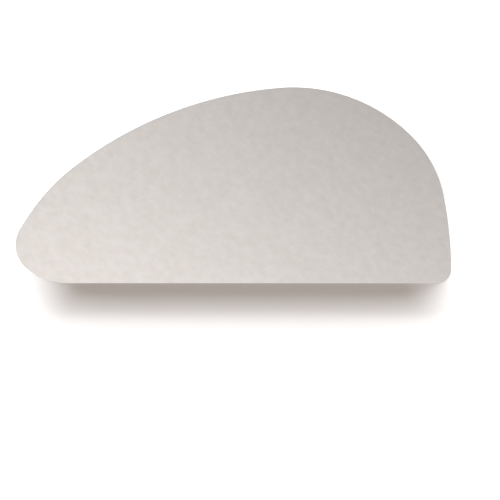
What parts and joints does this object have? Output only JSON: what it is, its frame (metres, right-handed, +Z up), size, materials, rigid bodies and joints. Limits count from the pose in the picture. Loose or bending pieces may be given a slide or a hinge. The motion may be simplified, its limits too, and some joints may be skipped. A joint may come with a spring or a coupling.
{
  "type": "pottery rib",
  "caption": "Flat stainless steel pottery rib with a straight edge, a narrow round nose and a high round heel, for shaping and scraping clay by hand.",
  "frame": {"origin": "middle of the bounding box on the underside, with the rib lying flat", "axes": "+X along the straight edge from the nose to the heel, +Y from the straight edge to the crown, +Z up out of the upper face"},
  "size_m": [0.1016, 0.0458, 0.0005],
  "materials": {
    "satin_stainless": "fine matte satin, tumbled"
  },
  "bodies": {
    "root": {"rib_blade": "satin_stainless"}
  },
  "joints": []
}
